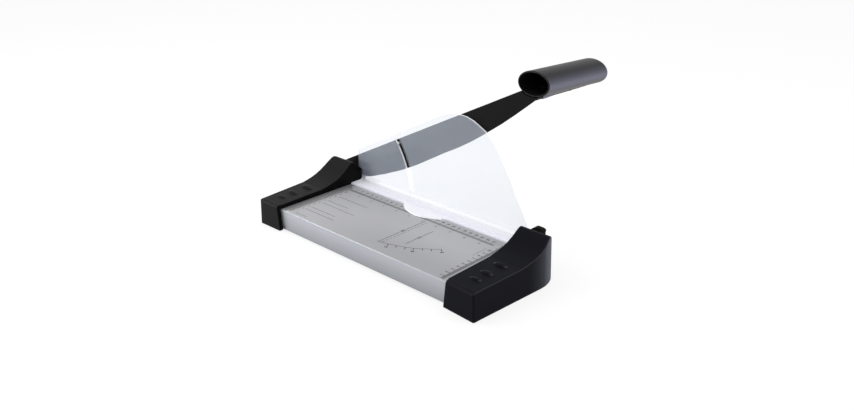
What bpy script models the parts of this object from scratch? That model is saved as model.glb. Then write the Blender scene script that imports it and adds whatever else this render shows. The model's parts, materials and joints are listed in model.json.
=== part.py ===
import math

import bmesh
import bpy
from mathutils import Matrix, Vector

# Guillotine paper cutter, in metres, Z up, resting on its rubber feet at Z = 0.
# X runs along the cut, Y from the front edge to the blade. X = 0 is midway
# between the end caps and Y = 0 is the front wall, until the whole is centred.

# Overall sizes that a designer would change first
CUT_LENGTH = 0.318
LEFT_CAP_LENGTH = 0.041
RIGHT_CAP_LENGTH = 0.0495
BED_DEPTH = 0.160
TABLE_HEIGHT = 0.032
GAP = 0.0003
CLEARANCE = 0.0006

# Bed
SHEET = 0.0020
BED_FLOOR = 0.0025
BED_EDGE_ROUND = 0.0015
BED_INSERT = 0.008
LIP_DEPTH = 0.020
BED_RIB_DROP = 0.008
BED_RIB_SHARES = (0.325, 0.650)

# Fixed knife along the rear edge
KNIFE_THICK = 0.0037
KNIFE_HEIGHT = 0.022
KNIFE_END_GAP = 0.0005
KNIFE_SCREW_DROP = 0.015
KNIFE_SCREW_INSET = 0.012
BRACKET_SCREW_PITCH = 0.024
KNIFE_SCREW_SHARE = 0.06

# End caps: the hump of the top as pairs of depth share and height share
CAP_LIP = 0.0065
CAP_FRONT_ROUND = 0.0032
CAP_FRONT_RISE = 0.0064
CAP_REAR_RISE = 0.0081
LEFT_CAP_HUMP = 0.0259
RIGHT_CAP_HUMP = 0.0213
CAP_HUMP_SHARES = (
    (0.469, 0),
    (0.531, 0.067),
    (0.581, 0.138),
    (0.625, 0.219),
    (0.688, 0.379),
    (0.750, 0.621),
    (0.813, 0.929),
    (0.828, 0.982),
    (0.844, 1),
    (0.858, 0.973),
    (0.872, 0.906),
    (0.994, 0.272),
)
CAP_FLOOR = 0.0010
CAP_EDGE_ROUND = 0.0012
CAP_CORNER_ROUND = 0.0015
CAP_DRAFT_SHARE = 0.04
CAP_CURVE_SHARE = 0.70
CAP_SPREAD = 0.0055
LEFT_CAP_SLANT = 0.0005
RIGHT_CAP_SLANT = 0.0038
CAP_LIP_FLARE = 0.0022
CAP_LIP_LEAN = 0.0015
CAP_REAR_FLAT = 0.019
CAP_REAR_GAP = 0.0010

# Raised marks on the caps: depth share, length, width and height of each
MARK_SHARES = (0.119, 0.244, 0.406)
MARK_LENGTHS = (0.0170, 0.0190, 0.0210)
MARK_WIDTHS = (0.0085, 0.0090, 0.0095)
MARK_HEIGHTS = (0.0020, 0.0024, 0.0028)
MARK_LENGTH_SHARE = 0.53

# Pivot of the arm, inside the left cap
PIVOT_FROM_CUT = 0.027
BOLT_RADIUS = 0.0030
BOLT_HEAD_RADIUS = 0.0058
BOLT_HEAD_HEIGHT = 0.0050
BUSHING_RADIUS = 0.0060
HEAD_WASHER_RADIUS = 0.0080
WASHER_THICK = 0.0015
INNER_WASHER_RADIUS = 0.0070
SPRING_LENGTH = 0.0070
SPRING_RADIUS = 0.0052
SPRING_WIRE = 0.0008
SPRING_TURNS = 3.5
PIVOT_NUT_RADIUS = 0.0056
PIVOT_NUT_HEIGHT = 0.0050
BRACKET_THICK = 0.0045
BRACKET_HEAD_RADIUS = 0.0120
BRACKET_BELOW_SCREW = 0.006
BRACKET_ABOVE_SCREW = 0.011
BRACKET_END_MARGIN = 0.010
HOUSING_RADIUS = 0.0165
HOUSING_WALL = 0.0025
HOUSING_DEPTH = 0.0315

# Blade arm: its cutting edge as X and Z from the pivot, in shares of the cut
ARM_THICK = 0.0035
ARM_GAP = 0.0003
ARM_REST_ANGLE = math.radians(27.8)
ARM_ROOT_RADIUS = 0.0258
ARM_EDGE_SHARES = (
    (0.079, 0.012),
    (0.131, 0.026),
    (0.226, 0.063),
    (0.333, 0.110),
    (0.434, 0.162),
    (0.527, 0.217),
    (0.597, 0.258),
    (0.670, 0.298),
    (0.755, 0.350),
    (0.835, 0.406),
    (0.905, 0.456),
    (0.975, 0.511),
    (1.083, 0.600),
)
ARM_GRIND = 0.0030
ARM_GRIND_SHARE = 0.75

# Seat that carries the grip: a slab welded to the end of the arm
SEAT_THICK = 0.0030
SEAT_SHARES = (1.022, 0.598)
SEAT_WIDTH = 0.0150
SEAT_END_WIDTH = 0.0085
SEAT_LENGTH = 0.1200
GRIP_DROOP = math.radians(3.0)

# Grip: an oval cup with a flat pad along its underside
GRIP_SHARE = 1.052
GRIP_HALF_WIDTH = 0.0243
GRIP_HALF_HEIGHT = 0.0160
GRIP_LENGTH = 0.1290
GRIP_WALL = 0.0022
GRIP_RIM = 0.0008
GRIP_END_ROUND = 0.0030
GRIP_ARM_GAP = 0.0005
GRIP_FACE_BACK = 0.0012
PAD_DROP = 0.0003
PAD_HEIGHT = 0.0055
PAD_LEFT = 0.0111
PAD_RIGHT = 0.0144
PAD_END_RIGHT = 0.0031
PAD_LENGTH = 0.0900
BOSS_RADIUS = 0.0045
BOSS_HEIGHT = 0.0100
GRIP_SCREW_INSET = 0.0046
GRIP_SCREW_DEPTH = 0.0075
GRIP_SCREW_SHARES = (0.26, 0.72)

# Clear guard: its sail as X and height over the table, in shares of the cut
GUARD_THICK = 0.0025
GUARD_LIFT = 0.0003
GUARD_DEPTH = 0.0290
GUARD_FACE_FROM_REAR = 0.0054
GUARD_SIDE_GAP = 0.0015
GUARD_BEND = 0.0090
GUARD_TONGUE = 0.0033
GUARD_LEFT_TONGUE = 0.0070
GUARD_RIB_DEPTHS = (0.0045, 0.0080, 0.0115)
GUARD_RIB_WIDTH = 0.0009
GUARD_RIB_HEIGHT = 0.0006
GUARD_TAB = 0.0178
GUARD_TAB_SHARES = (
    (-0.148, 0),
    (-0.104, 0.59),
    (-0.075, 0.83),
    (-0.047, 0.96),
    (-0.022, 1),
    (0.003, 0.96),
    (0.028, 0.81),
    (0.052, 0.60),
    (0.090, 0.22),
    (0.126, 0),
)
GUARD_SAIL_SHARES = (
    (0.486, 0.075),
    (0.453, 0.136),
    (0.419, 0.188),
    (0.394, 0.240),
    (0.352, 0.304),
    (0.300, 0.379),
    (0.264, 0.409),
    (0.225, 0.429),
    (0.189, 0.446),
    (0.149, 0.456),
    (0.088, 0.457),
    (0.048, 0.447),
    (0.003, 0.427),
    (-0.240, 0.298),
)
GUARD_LEFT_SHARE = 0.148
SLOT_RADIUS_SHARE = 0.415
SLOT_WIDTH = 0.0058
SLOT_LOW = math.radians(3.8)
SLOT_HIGH = math.radians(38.6)

# Stud of the arm that runs in the guard's slot
STUD_ANGLE = math.radians(36.0)
STUD_RADIUS = 0.00175
STUD_HEAD_RADIUS = 0.0027
STUD_HEAD_HEIGHT = 0.0015
STUD_BACK_RADIUS = 0.0032

# Latch on the right cap: its hook as Y and Z from the pin, in shares of its reach
LATCH_REACH = 0.0185
LATCH_HOOK_SHARES = (
    (0.378, 0.108),
    (0.514, 0.514),
    (0.557, 0.703),
    (0.778, 0.859),
    (0.778, 0.924),
    (0.703, 1),
    (0.324, 1),
    (0.135, 0.832),
    (-0.081, 0.378),
)
LATCH_KNUCKLE = 0.0041
LATCH_FROM_CUT = 0.0052
LATCH_WIDTH = 0.0218
LATCH_DOME = 0.0105
LATCH_FROM_REAR = 0.016
LATCH_PIN_RISE = 0.008
LATCH_PIN_RADIUS = 0.0015
LATCH_PIN_OVERHANG = 0.0030
LATCH_POCKET_FRONT = 0.0045
LATCH_POCKET_DROP = 0.0065

# Small fixings, and feet
SCREW_RADIUS = 0.0020
SCREW_HEAD_RADIUS = 0.0036
SCREW_HEAD_HEIGHT = 0.0018
KNIFE_HEAD_SLOPE = 0.0016
NUT_RADIUS = 0.0040
NUT_HEIGHT = 0.0032
CAP_SCREW_RADIUS = 0.0015
CAP_SCREW_HEAD_RADIUS = 0.0027
CAP_SCREW_HEAD_HEIGHT = 0.0014
CAP_SCREW_LENGTH = 0.0120
CAP_SCREW_FROM_FRONT = 0.012
CAP_SCREW_FROM_REAR = 0.018
FOOT_RADIUS = 0.0080
FOOT_HEIGHT = 0.0030
FOOT_FROM_FRONT = 0.012
FOOT_REAR_SHARE = 0.675
FOOT_FROM_CUT = 0.031

# Facets
ROUND_SEGMENTS = 24
OVAL_SEGMENTS = 48
NUT_SIDES = 6
ARC_STEPS = 4
CURVE_STEPS = 12
SMOOTH_ANGLE = math.radians(35)
RUN_PAST = 0.010
MERGE = 0.000001
DRAWN_SCALE = 1000

# Places that follow from the sizes above
LEFT = -1
RIGHT = 1
HALF_CUT = CUT_LENGTH / 2
PIVOT_X = -HALF_CUT - PIVOT_FROM_CUT
PIVOT_Z = TABLE_HEIGHT
REAR_WALL_OUT = BED_DEPTH - KNIFE_THICK - GAP
REAR_WALL_IN = REAR_WALL_OUT - SHEET
CAP_REAR = BED_DEPTH - CAP_REAR_GAP
CAP_CURVE_START = BED_DEPTH * CAP_CURVE_SHARE
CAP_LENGTHS = {LEFT: LEFT_CAP_LENGTH, RIGHT: RIGHT_CAP_LENGTH}
CAP_HUMPS = {LEFT: LEFT_CAP_HUMP, RIGHT: RIGHT_CAP_HUMP}
CAP_SLANTS = {LEFT: LEFT_CAP_SLANT, RIGHT: RIGHT_CAP_SLANT}
CAP_CREST = TABLE_HEIGHT + CAP_REAR_RISE + max(CAP_HUMPS.values())
ARM_FRONT = BED_DEPTH + ARM_GAP
ARM_BACK = ARM_FRONT + ARM_THICK
PIVOT = Vector((PIVOT_X, ARM_FRONT, PIVOT_Z))
KNIFE_SCREW_Z = TABLE_HEIGHT - KNIFE_SCREW_DROP
BRACKET_SCREWS_X = (
    -HALF_CUT + KNIFE_SCREW_INSET,
    -HALF_CUT + KNIFE_SCREW_INSET + BRACKET_SCREW_PITCH,
)
NUT_SCREWS_X = (CUT_LENGTH * KNIFE_SCREW_SHARE, HALF_CUT - KNIFE_SCREW_INSET)
SEAT_LEFT = PIVOT_X + CUT_LENGTH * SEAT_SHARES[0]
SEAT_TOP = PIVOT_Z + CUT_LENGTH * SEAT_SHARES[1]
PAD_FLOOR = SEAT_TOP + GAP
GRIP_X = PIVOT_X + CUT_LENGTH * GRIP_SHARE
GRIP_Z = PAD_FLOOR + PAD_DROP + GRIP_HALF_HEIGHT
GRIP_FRONT = ARM_FRONT + GRIP_FACE_BACK
SLOT_RADIUS = CUT_LENGTH * SLOT_RADIUS_SHARE
STUD_X = PIVOT_X + SLOT_RADIUS * math.cos(STUD_ANGLE)
STUD_Z = PIVOT_Z + SLOT_RADIUS * math.sin(STUD_ANGLE)
GUARD_FRONT = BED_DEPTH - GUARD_DEPTH
GUARD_FACE = BED_DEPTH - GUARD_FACE_FROM_REAR
GUARD_TOP = TABLE_HEIGHT + CUT_LENGTH * max(share for _, share in GUARD_SAIL_SHARES)
LATCH_Y = BED_DEPTH - LATCH_FROM_REAR
LATCH_Z = TABLE_HEIGHT + LATCH_PIN_RISE
LATCH_SIDE_X = HALF_CUT + LATCH_FROM_CUT
LATCH_PIVOT = Vector((LATCH_SIDE_X, LATCH_Y, LATCH_Z))
CAP_SCREW_DEPTHS = (CAP_SCREW_FROM_FRONT, BED_DEPTH - CAP_SCREW_FROM_REAR)
CAP_SCREW_X = HALF_CUT + BED_INSERT / 2
FOOT_DEPTHS = (FOOT_FROM_FRONT, BED_DEPTH * FOOT_REAR_SHARE)
FOOT_X = HALF_CUT + FOOT_FROM_CUT

COLOURS = {
    "table_grey": ((0.42, 0.43, 0.45, 1.0), 0.0, 0.45),
    "cap_black": ((0.018, 0.018, 0.021, 1.0), 0.0, 0.42),
    "steel": ((0.55, 0.56, 0.58, 1.0), 1.0, 0.30),
    "arm_black": ((0.016, 0.015, 0.016, 1.0), 0.2, 0.50),
    "grip_black": ((0.030, 0.031, 0.034, 1.0), 0.0, 0.38),
    "clear_plastic": ((0.80, 0.86, 0.90, 1.0), 0.0, 0.06),
    "zinc": ((0.50, 0.51, 0.53, 1.0), 1.0, 0.36),
    "rubber": ((0.020, 0.020, 0.020, 1.0), 0.0, 0.80),
}
CLEAR_ALPHA = 0.35

# Local X, Y and Z of a drawn shape, turned so that its local Z lies on an axis
AXIS_TURNS = {
    "X": Matrix(((0, 0, 1), (1, 0, 0), (0, 1, 0))).to_4x4(),
    "Y": Matrix(((0, 1, 0), (0, 0, 1), (1, 0, 0))).to_4x4(),
    "Z": Matrix.Identity(4),
}


# Scene, collections and materials


def clear_scene():
    for item in list(bpy.data.objects):
        bpy.data.objects.remove(item, do_unlink=True)


def new_collection(name):
    collection = bpy.data.collections.new(name)
    bpy.context.scene.collection.children.link(collection)
    return collection


def new_group(name, place_at, parent=None):
    # An empty on the joint's axis, so that turning it turns what it carries
    group = bpy.data.objects.new(name, None)
    parts.objects.link(group)
    group.location = place_at
    group.parent = parent
    return group


def new_material(name, kind):
    colour, metallic, roughness = COLOURS[kind]
    material = bpy.data.materials.new(name)
    material.use_nodes = True
    shader = material.node_tree.nodes["Principled BSDF"]
    shader.inputs["Base Color"].default_value = colour
    shader.inputs["Metallic"].default_value = metallic
    shader.inputs["Roughness"].default_value = roughness
    if kind == "clear_plastic":
        shader.inputs["Alpha"].default_value = CLEAR_ALPHA
    material.diffuse_color = colour
    return material


def attach(item, group):
    item.parent = group
    if group != root:
        item.matrix_parent_inverse = Matrix.Translation(-group.location)


def add_part(name, shape, kind, group):
    shape.name = name
    shape.data.name = name
    shape.data.materials.append(new_material(name, kind))
    if shape.data.polygons:
        shape.data.shade_smooth()
        shape.data.set_sharp_from_angle(angle=SMOOTH_ANGLE)
    parts.objects.link(shape)
    attach(shape, group)
    return shape


def combine(part, name, shape, operation):
    shape.name = name
    shape.data.name = name
    cutters.objects.link(shape)
    shape.hide_render = True
    shape.display_type = "WIRE"
    attach(shape, part.parent)
    modifier = part.modifiers.new(name, "BOOLEAN")
    modifier.operation = operation
    modifier.solver = "EXACT"
    modifier.object = shape


def cut(part, name, shape):
    combine(part, name, shape, "DIFFERENCE")


def join(part, name, shape):
    combine(part, name, shape, "UNION")


def keep(part, name, shape):
    combine(part, name, shape, "INTERSECT")


# Shapes


def placed(axis, centre, along):
    a, b = centre
    places = {"X": (along, a, b), "Y": (a, along, b), "Z": (a, b, along)}
    return Matrix.Translation(places[axis]) @ AXIS_TURNS[axis]


def object_from(bm, matrix):
    bmesh.ops.recalc_face_normals(bm, faces=bm.faces)
    mesh = bpy.data.meshes.new("shape")
    bm.to_mesh(mesh)
    bm.free()
    shape = bpy.data.objects.new("shape", mesh)
    shape.matrix_world = matrix
    return shape


def block(x, y, z):
    sides = Matrix.Diagonal((x[1] - x[0], y[1] - y[0], z[1] - z[0], 1))
    bm = bmesh.new()
    bmesh.ops.create_cube(bm, size=1, matrix=sides)
    middle = ((x[0] + x[1]) / 2, (y[0] + y[1]) / 2, (z[0] + z[1]) / 2)
    return object_from(bm, Matrix.Translation(middle))


def rod(radius, axis, centre, low, high, segments=ROUND_SEGMENTS):
    bm = bmesh.new()
    bmesh.ops.create_cone(
        bm,
        cap_ends=True,
        segments=segments,
        radius1=radius,
        radius2=radius,
        depth=high - low,
    )
    return object_from(bm, placed(axis, centre, (low + high) / 2))


def turned(profile, axis, centre, stretch=1, segments=ROUND_SEGMENTS):
    # Profile points are radius and place along the axis, outer wall going up.
    points = [(radius, 0, along) for radius, along in reversed(profile)]
    edges = [(index, index + 1) for index in range(len(points) - 1)]
    if profile[0][0] > 0:
        edges.append((len(points) - 1, 0))
    mesh = bpy.data.meshes.new("profile")
    mesh.from_pydata(points, edges, [])
    shape = bpy.data.objects.new("turned", mesh)
    shape.matrix_world = placed(axis, centre, 0) @ Matrix.Diagonal((1, stretch, 1, 1))
    screw = shape.modifiers.new("turn", "SCREW")
    screw.steps = segments
    screw.render_steps = segments
    screw.use_merge_vertices = True
    screw.merge_threshold = MERGE
    screw.use_smooth_shade = True
    return shape


def mesh_of(curve, matrix, drawn_scale=1):
    # Makes the curve a mesh of true size, with its caps welded on
    drawn = bpy.data.objects.new("drawn", curve)
    cutters.objects.link(drawn)
    drawn.matrix_world = matrix
    graph = bpy.context.evaluated_depsgraph_get()
    mesh = bpy.data.meshes.new_from_object(drawn.evaluated_get(graph))
    bm = bmesh.new()
    bm.from_mesh(mesh)
    bmesh.ops.remove_doubles(bm, verts=bm.verts, dist=MERGE * drawn_scale)
    bm.transform(Matrix.Scale(1 / drawn_scale, 4))
    shape = object_from(bm, drawn.matrix_world)
    bpy.data.objects.remove(drawn)
    bpy.data.meshes.remove(mesh)
    return shape


def flat(outline, axis, low, high):
    # Drawn much larger than it is, because the fill drops points that lie close.
    curve = bpy.data.curves.new("outline", "CURVE")
    curve.dimensions = "2D"
    curve.fill_mode = "BOTH"
    curve.extrude = (high - low) / 2 * DRAWN_SCALE
    spline = curve.splines.new("POLY")
    spline.points.add(len(outline) - 1)
    for point, (a, b) in zip(spline.points, outline):
        across, up = (b, a) if axis == "Y" else (a, b)
        point.co = (across * DRAWN_SCALE, up * DRAWN_SCALE, 0, 1)
    spline.use_cyclic_u = True
    return mesh_of(curve, placed(axis, (0, 0), (low + high) / 2), DRAWN_SCALE)


def wire(points, radius):
    curve = bpy.data.curves.new("wire", "CURVE")
    curve.dimensions = "3D"
    curve.bevel_depth = radius
    curve.bevel_resolution = 2
    curve.use_fill_caps = True
    spline = curve.splines.new("POLY")
    spline.points.add(len(points) - 1)
    for point, place_at in zip(spline.points, points):
        point.co = (*place_at, 1)
    return mesh_of(curve, Matrix.Identity(4))


def loft(loops):
    bm = bmesh.new()
    rows = [[bm.verts.new(point) for point in loop] for loop in loops]
    count = len(loops[0])
    for one, two in zip(rows, rows[1:]):
        for index in range(count):
            after = (index + 1) % count
            bm.faces.new((one[index], one[after], two[after], two[index]))
    bm.faces.new(rows[0])
    bm.faces.new(rows[-1])
    return object_from(bm, Matrix.Identity(4))


def arc(centre, radii, start, sweep, steps=ARC_STEPS):
    points = []
    for step in range(steps + 1):
        angle = start + sweep * step / steps
        across = centre[0] + radii[0] * math.cos(angle)
        points.append((across, centre[1] + radii[1] * math.sin(angle)))
    return points


def round_arc(centre, radius, start, sweep, steps=ARC_STEPS):
    return arc(centre, (radius, radius), start, sweep, steps)


# Bed


def bed_outline(gap):
    # Cross-section of the bed, grown by a gap for the slots in the caps
    rear = REAR_WALL_OUT + gap
    low = BED_FLOOR - gap
    lip_top = BED_FLOOR + SHEET + gap
    high = TABLE_HEIGHT + gap
    under = TABLE_HEIGHT - SHEET - gap
    wall = SHEET + gap
    lip = LIP_DEPTH + gap
    turn = BED_EDGE_ROUND
    points = [(lip, low), (-gap, low)]
    points += round_arc((turn - gap, high - turn), turn, math.pi, -math.pi / 2)
    points += [(rear, high), (rear, low), (REAR_WALL_OUT - lip, low)]
    points += [(REAR_WALL_OUT - lip, lip_top), (REAR_WALL_OUT - wall, lip_top)]
    points += [(REAR_WALL_OUT - wall, under), (wall, under)]
    return points + [(wall, lip_top), (lip, lip_top)]


def bed_ribs(x, gap):
    low = TABLE_HEIGHT - SHEET - BED_RIB_DROP - gap
    ribs = []
    for share in BED_RIB_SHARES:
        half = SHEET / 2 + gap
        y = (BED_DEPTH * share - half, BED_DEPTH * share + half)
        ribs.append(block(x, y, (low, TABLE_HEIGHT - SHEET / 2)))
    return ribs


def build_bed():
    reach = HALF_CUT + BED_INSERT
    bed = add_part("bed", flat(bed_outline(0), "X", -reach, reach), "table_grey", root)
    for index, rib in enumerate(bed_ribs((GAP - reach, reach - GAP), 0)):
        join(bed, f"bed_rib_{index + 1}", rib)
    for index, x in enumerate(BRACKET_SCREWS_X + NUT_SCREWS_X):
        centre = (x, KNIFE_SCREW_Z)
        hole = rod(SCREW_RADIUS + GAP, "Y", centre, REAR_WALL_IN - SHEET, REAR_WALL_OUT + SHEET)
        cut(bed, f"bed_knife_hole_{index + 1}", hole)
    for word, side in (("left", LEFT), ("right", RIGHT)):
        for index, depth in enumerate(CAP_SCREW_DEPTHS):
            centre = (side * CAP_SCREW_X, depth)
            low = BED_FLOOR - SHEET
            hole = rod(CAP_SCREW_RADIUS + GAP, "Z", centre, low, BED_FLOOR + SHEET * 2)
            cut(bed, f"bed_lip_hole_{word}_{index + 1}", hole)


# Fixed knife and its screws


def knife_hole(x):
    face = BED_DEPTH
    slim = SCREW_RADIUS + GAP
    wide = SCREW_HEAD_RADIUS + GAP
    start = face - KNIFE_THICK - SHEET
    profile = (
        (0, start),
        (slim, start),
        (slim, face - GAP - KNIFE_HEAD_SLOPE),
        (wide, face - GAP),
        (wide, face + SHEET),
        (0, face + SHEET),
    )
    return turned(profile, "Y", (x, KNIFE_SCREW_Z))


def knife_screw(x):
    face = BED_DEPTH - GAP
    tip = REAR_WALL_IN - GAP - BRACKET_THICK
    profile = (
        (0, tip),
        (SCREW_RADIUS, tip),
        (SCREW_RADIUS, face - KNIFE_HEAD_SLOPE - GAP),
        (SCREW_HEAD_RADIUS, face - GAP),
        (SCREW_HEAD_RADIUS, face),
        (0, face),
    )
    return turned(profile, "Y", (x, KNIFE_SCREW_Z))


def build_knife():
    reach = HALF_CUT - KNIFE_END_GAP
    y = (BED_DEPTH - KNIFE_THICK, BED_DEPTH)
    z = (TABLE_HEIGHT - KNIFE_HEIGHT, TABLE_HEIGHT)
    knife = add_part("bed_knife", block((-reach, reach), y, z), "steel", root)
    for index, x in enumerate(BRACKET_SCREWS_X + NUT_SCREWS_X):
        cut(knife, f"knife_hole_{index + 1}", knife_hole(x))
        add_part(f"knife_screw_{index + 1}", knife_screw(x), "zinc", root)
    for index, x in enumerate(NUT_SCREWS_X):
        centre = (x, KNIFE_SCREW_Z)
        top = REAR_WALL_IN - GAP
        nut = rod(NUT_RADIUS, "Y", centre, top - NUT_HEIGHT, top, NUT_SIDES)
        part = add_part(f"knife_nut_{index + 1}", nut, "zinc", root)
        hole = rod(SCREW_RADIUS + GAP, "Y", centre, top - NUT_HEIGHT * 2, top + NUT_HEIGHT)
        cut(part, f"knife_nut_hole_{index + 1}", hole)


# End caps


def cap_hump(share):
    for (d0, h0), (d1, h1) in zip(CAP_HUMP_SHARES, CAP_HUMP_SHARES[1:]):
        if d0 <= share <= d1:
            return h0 + (h1 - h0) * (share - d0) / (d1 - d0)
    return 0


def cap_top(side, depth):
    share = max(0, depth) / BED_DEPTH
    slope = min(1, share / CAP_HUMP_SHARES[0][0])
    rise = CAP_FRONT_RISE + (CAP_REAR_RISE - CAP_FRONT_RISE) * slope
    top = TABLE_HEIGHT + rise + CAP_HUMPS[side] * cap_hump(share)
    rest = CAP_FRONT_ROUND - (depth + CAP_LIP)
    if rest > 0:
        top -= CAP_FRONT_ROUND - math.sqrt(CAP_FRONT_ROUND**2 - rest**2)
    return top


def cap_side(side, depth):
    # Distance of the outer face from the cut, which grows up to the rear curve
    length = CAP_LENGTHS[side] + CAP_SPREAD * depth / CAP_CURVE_START
    rest = CAP_CORNER_ROUND - (depth + CAP_LIP)
    if rest > 0:
        return length - CAP_CORNER_ROUND + math.sqrt(CAP_CORNER_ROUND**2 - rest**2)
    if depth <= CAP_CURVE_START:
        return length
    share = (depth - CAP_CURVE_START) / (CAP_REAR - CAP_CURVE_START)
    length = CAP_LENGTHS[side] + CAP_SPREAD
    return CAP_REAR_FLAT + (length - CAP_REAR_FLAT) * math.sqrt(max(0, 1 - share**2))


def cap_slant(side, depth, across):
    # How far the front face leans forward, more towards the outside
    return min(0, depth) / CAP_LIP * CAP_SLANTS[side] * across / CAP_LENGTHS[side]


def cap_depths():
    # Where the cap is sectioned: its front round, its hump and its rear corner
    depths = {-GAP * 2, 0, CAP_REAR}
    for step in range(ARC_STEPS + 1):
        angle = math.pi / 2 * step / ARC_STEPS
        depths.add(CAP_FRONT_ROUND * (1 - math.cos(angle)) - CAP_LIP)
    for share, _ in CAP_HUMP_SHARES:
        depths.add(BED_DEPTH * share)
    for step in range(1, CURVE_STEPS):
        angle = math.pi / 2 * step / CURVE_STEPS
        depths.add(CAP_CURVE_START + (CAP_REAR - CAP_CURVE_START) * math.sin(angle))
    wanted = []
    for depth in sorted(depths):
        if depth <= CAP_REAR and (not wanted or depth - wanted[-1] > GAP):
            wanted.append(depth)
    wanted[-1] = CAP_REAR
    return wanted


def cap_section(side, depth):
    top = cap_top(side, depth)
    outer = cap_side(side, depth)
    turn = CAP_EDGE_ROUND
    edge = outer - CAP_DRAFT_SHARE * top
    flare, lean = (CAP_LIP_FLARE, CAP_LIP_LEAN) if depth < 0 else (0, 0)
    outline = [(-flare, CAP_FLOOR)]
    outline += round_arc((lean + turn, top - turn), turn, math.pi, -math.pi / 2)
    outline += round_arc((edge - turn, top - turn), turn, math.pi / 2, -math.pi / 2)
    outline.append((outer, CAP_FLOOR))
    points = []
    for across, z in outline:
        y = depth + cap_slant(side, depth, across)
        points.append(Vector((side * (HALF_CUT + across), y, z)))
    return points


def cap_mark(side, index):
    depth = BED_DEPTH * MARK_SHARES[index]
    across = CAP_LENGTHS[side] * MARK_LENGTH_SHARE
    place_at = (side * (HALF_CUT + across), depth, cap_top(side, depth))
    sizes = (MARK_LENGTHS[index] / 2, MARK_WIDTHS[index] / 2, MARK_HEIGHTS[index], 1)
    bm = bmesh.new()
    bmesh.ops.create_uvsphere(
        bm,
        u_segments=ROUND_SEGMENTS,
        v_segments=CURVE_STEPS,
        radius=1,
        matrix=Matrix.Diagonal(sizes),
    )
    return object_from(bm, Matrix.Translation(place_at))


def cap_screw_hole(centre):
    wide = CAP_SCREW_HEAD_RADIUS + GAP
    slim = CAP_SCREW_RADIUS + GAP
    shoulder = BED_FLOOR + SHEET / 2
    top = BED_FLOOR + CAP_SCREW_LENGTH + SHEET
    profile = (
        (0, -RUN_PAST),
        (wide, -RUN_PAST),
        (wide, shoulder),
        (slim, shoulder),
        (slim, top),
        (0, top),
    )
    return turned(profile, "Z", centre)


def across_cut(side, near, far):
    ends = (side * (HALF_CUT + near), side * (HALF_CUT + far))
    return min(ends), max(ends)


def build_cap(name, side, tongue):
    sections = [cap_section(side, depth) for depth in cap_depths()]
    cap = add_part(name, loft(sections), "cap_black", root)
    for index in range(len(MARK_SHARES)):
        join(cap, f"{name}_mark_{index + 1}", cap_mark(side, index))
    x = across_cut(side, -RUN_PAST, BED_INSERT + GAP)
    cut(cap, f"{name}_bed_slot", flat(bed_outline(GAP), "X", *x))
    for index, rib in enumerate(bed_ribs(x, GAP)):
        cut(cap, f"{name}_rib_slot_{index + 1}", rib)
    for index, depth in enumerate(FOOT_DEPTHS):
        recess = rod(FOOT_RADIUS + GAP, "Z", (side * FOOT_X, depth), -RUN_PAST, FOOT_HEIGHT + GAP)
        cut(cap, f"{name}_foot_recess_{index + 1}", recess)
    for index, depth in enumerate(CAP_SCREW_DEPTHS):
        hole = cap_screw_hole((side * CAP_SCREW_X, depth))
        cut(cap, f"{name}_screw_hole_{index + 1}", hole)
    x = across_cut(side, -RUN_PAST, tongue + GAP)
    y = (GUARD_FACE - CLEARANCE, GUARD_FACE + GUARD_THICK + CLEARANCE)
    slot = block(x, y, (TABLE_HEIGHT, CAP_CREST + RUN_PAST))
    cut(cap, f"{name}_guard_slot", slot)
    return cap


def housing_outline(radius, low):
    points = round_arc((PIVOT_X, PIVOT_Z), radius, 0, math.pi, CURVE_STEPS)
    return points + [(PIVOT_X - radius, low), (PIVOT_X + radius, low)]


def build_left_cap():
    cap = build_cap("left_end_cap", LEFT, GUARD_LEFT_TONGUE)
    front = CAP_REAR - HOUSING_DEPTH
    outer = housing_outline(HOUSING_RADIUS, CAP_FLOOR + GAP)
    join(cap, "pivot_housing", flat(outer, "Y", front, CAP_REAR - GAP))
    inner = housing_outline(HOUSING_RADIUS - HOUSING_WALL, -RUN_PAST)
    cut(cap, "pivot_hollow", flat(inner, "Y", front + HOUSING_WALL, REAR_WALL_IN))
    x = (PIVOT_X, -HALF_CUT + RUN_PAST)
    y = (REAR_WALL_IN - BRACKET_THICK - GAP * 2, REAR_WALL_IN)
    low = KNIFE_SCREW_Z - BRACKET_BELOW_SCREW - GAP
    high = KNIFE_SCREW_Z + BRACKET_ABOVE_SCREW + GAP
    cut(cap, "bracket_slot", block(x, y, (low, high)))
    centre = (PIVOT_X, PIVOT_Z)
    hole = rod(BUSHING_RADIUS + GAP, "Y", centre, REAR_WALL_IN - GAP * 2, CAP_REAR + RUN_PAST)
    cut(cap, "bushing_hole", hole)


def build_right_cap():
    cap = build_cap("right_end_cap", RIGHT, GUARD_TONGUE)
    x = (LATCH_SIDE_X - GAP, LATCH_SIDE_X + LATCH_WIDTH + GAP)
    y = (LATCH_Y - LATCH_POCKET_FRONT, CAP_REAR + RUN_PAST)
    z = (LATCH_Z - LATCH_POCKET_DROP, CAP_CREST + RUN_PAST)
    cut(cap, "latch_pocket", block(x, y, z))
    reach = LATCH_PIN_OVERHANG + GAP
    centre = (LATCH_Y, LATCH_Z)
    hole = rod(LATCH_PIN_RADIUS + GAP, "X", centre, x[0] - reach, x[1] + reach)
    cut(cap, "latch_pin_hole", hole)


def cap_screw(centre):
    seat = BED_FLOOR - GAP
    profile = (
        (0, seat - CAP_SCREW_HEAD_HEIGHT),
        (CAP_SCREW_HEAD_RADIUS, seat - CAP_SCREW_HEAD_HEIGHT),
        (CAP_SCREW_HEAD_RADIUS, seat),
        (CAP_SCREW_RADIUS, seat),
        (CAP_SCREW_RADIUS, seat + CAP_SCREW_LENGTH),
        (0, seat + CAP_SCREW_LENGTH),
    )
    return turned(profile, "Z", centre)


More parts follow.
